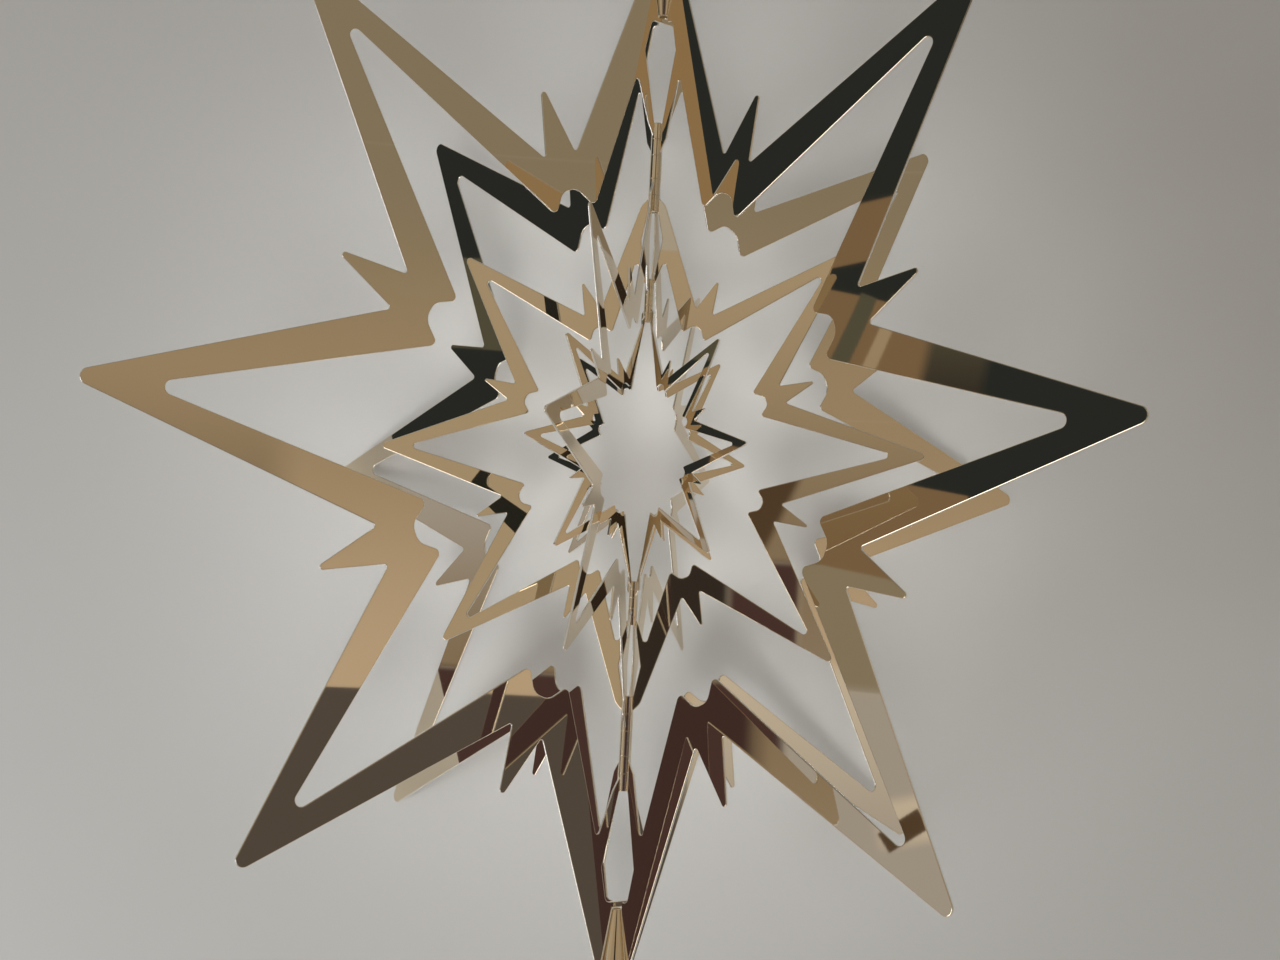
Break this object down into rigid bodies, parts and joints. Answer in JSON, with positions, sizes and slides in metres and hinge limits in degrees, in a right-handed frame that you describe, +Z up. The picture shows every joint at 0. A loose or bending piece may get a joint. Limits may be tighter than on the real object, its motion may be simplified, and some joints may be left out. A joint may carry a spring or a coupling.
{
  "type": "tree topper star",
  "caption": "Tree topper of nested flat star plates in polished pale gold sheet, crossing on one upright axis and turning on pins, with a conical socket for the tree's shoot.",
  "frame": {"origin": "middle of the tree socket's mouth", "axes": "+Z up along the star's axis, -Y towards the viewer of the picture"},
  "size_m": [0.1868, 0.167, 0.2292],
  "materials": {
    "gold_sheet": "mirror polished pale gold plating on thin sheet",
    "gold_tube": "polished pale gold plating on rolled tube",
    "pin_metal": "plain drawn wire"
  },
  "bodies": {
    "large_frame": {"large_plate_a": "gold_sheet", "top_ferrule": "gold_tube", "tree_socket": "gold_tube", "upper_outer_pin": "pin_metal", "lower_outer_pin": "pin_metal", "upper_outer_sleeve": "gold_tube", "lower_outer_sleeve": "gold_tube"},
    "large_plate_b": {"large_plate_b": "gold_sheet"},
    "medium_frame": {"medium_plate_a": "gold_sheet", "upper_inner_pin": "pin_metal", "lower_inner_pin": "pin_metal", "upper_inner_sleeve": "gold_tube", "lower_inner_sleeve": "gold_tube"},
    "medium_plate_b": {"medium_plate_b": "gold_sheet"},
    "small_plate_a": {"small_plate_a": "gold_sheet"},
    "small_plate_b": {"small_plate_b": "gold_sheet"}
  },
  "joints": [
    {"name": "large_plate_b_turn", "type": "hinge", "parent": "large_frame", "child": "large_plate_b", "pos_m": [0, 0, 0.1146], "axis": [0, 0, 1], "range_deg": [-60, 60]},
    {"name": "medium_plate_a_turn", "type": "hinge", "parent": "large_frame", "child": "medium_frame", "pos_m": [0, 0, 0.1146], "axis": [0, 0, 1], "range_deg": [-60, 60]},
    {"name": "medium_plate_b_turn", "type": "hinge", "parent": "large_frame", "child": "medium_plate_b", "pos_m": [0, 0, 0.1146], "axis": [0, 0, 1], "range_deg": [-60, 60]},
    {"name": "small_plate_a_turn", "type": "hinge", "parent": "medium_frame", "child": "small_plate_a", "pos_m": [0, 0, 0.1146], "axis": [0, 0, 1], "range_deg": [-60, 60]},
    {"name": "small_plate_b_turn", "type": "hinge", "parent": "medium_frame", "child": "small_plate_b", "pos_m": [0, 0, 0.1146], "axis": [0, 0, 1], "range_deg": [-60, 60]}
  ]
}
